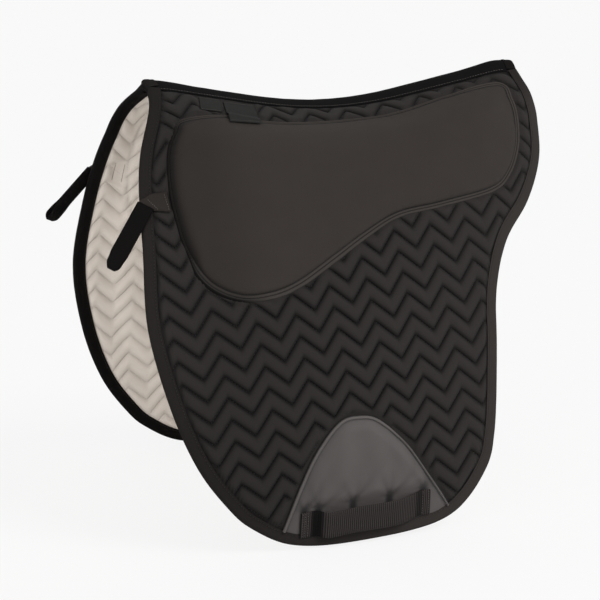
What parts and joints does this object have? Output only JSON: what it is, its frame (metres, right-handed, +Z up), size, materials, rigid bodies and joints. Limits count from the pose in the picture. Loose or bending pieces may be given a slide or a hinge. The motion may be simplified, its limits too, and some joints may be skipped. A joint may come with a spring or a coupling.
{
  "type": "icelandic saddle pad",
  "caption": "Contoured saddle pad of two quilted flaps that fold at a spine tape, with raised saddle panels, girth loops and looped front straps.",
  "frame": {"origin": "mid-length on the underside of the spine, where the pad rests on the horse's back", "axes": "+X to the horse's tail, +Y to its right, +Z up"},
  "size_m": [0.5893, 0.4684, 0.5327],
  "materials": {
    "quilted_cotton": "matte",
    "canvas": "matte",
    "binding_tape": "matte",
    "webbing": "satin",
    "coated_patch": "satin",
    "lining_cotton": "matte",
    "wadding": "matte",
    "foam": "matte",
    "label_weave": "matte"
  },
  "bodies": {
    "spine": {"spine_tape": "binding_tape", "spine_lining_tape": "lining_cotton", "front_arch_binding": "binding_tape", "rear_arch_binding": "binding_tape"},
    "left_flap": {"left_quilted_cover": "quilted_cotton", "left_wadding": "wadding", "left_lining": "lining_cotton", "left_edge_binding": "binding_tape", "left_panel_foam": "foam", "left_panel_cover": "canvas", "left_panel_piping": "canvas", "left_girth_patch": "coated_patch", "left_girth_patch_piping": "coated_patch", "left_girth_loop": "webbing", "left_strap_tab": "webbing", "care_label": "label_weave", "maker_label_blank": "label_weave"},
    "right_flap": {"right_quilted_cover": "quilted_cotton", "right_wadding": "wadding", "right_lining": "lining_cotton", "right_edge_binding": "binding_tape", "right_panel_foam": "foam", "right_panel_cover": "canvas", "right_panel_piping": "canvas", "right_girth_patch": "coated_patch", "right_girth_patch_piping": "coated_patch", "right_girth_loop": "webbing", "right_strap_tab": "webbing"},
    "left_strap": {"left_front_strap": "webbing"},
    "right_strap": {"right_front_strap": "webbing"}
  },
  "joints": [
    {"name": "left_flap_fold", "type": "hinge", "parent": "spine", "child": "left_flap", "pos_m": [0, 0, 0.04784], "axis": [-1, 0, 0], "range_deg": [-12, 45], "deforming": ["spine_tape", "spine_lining_tape", "front_arch_binding", "rear_arch_binding"]},
    {"name": "right_flap_fold", "type": "hinge", "parent": "spine", "child": "right_flap", "pos_m": [0, 0, 0.04784], "axis": [1, 0, 0], "range_deg": [-12, 45], "deforming": ["spine_tape", "spine_lining_tape", "front_arch_binding", "rear_arch_binding"]},
    {"name": "left_strap_fold", "type": "hinge", "parent": "left_flap", "child": "left_strap", "pos_m": [-0.27448, -0.11423, -0.08256], "axis": [-0.7751, 0.489, 0.4], "range_deg": [0, 95]},
    {"name": "right_strap_fold", "type": "hinge", "parent": "right_flap", "child": "right_strap", "pos_m": [-0.27448, 0.11423, -0.08256], "axis": [0.7751, 0.489, -0.4], "range_deg": [0, 95]}
  ]
}
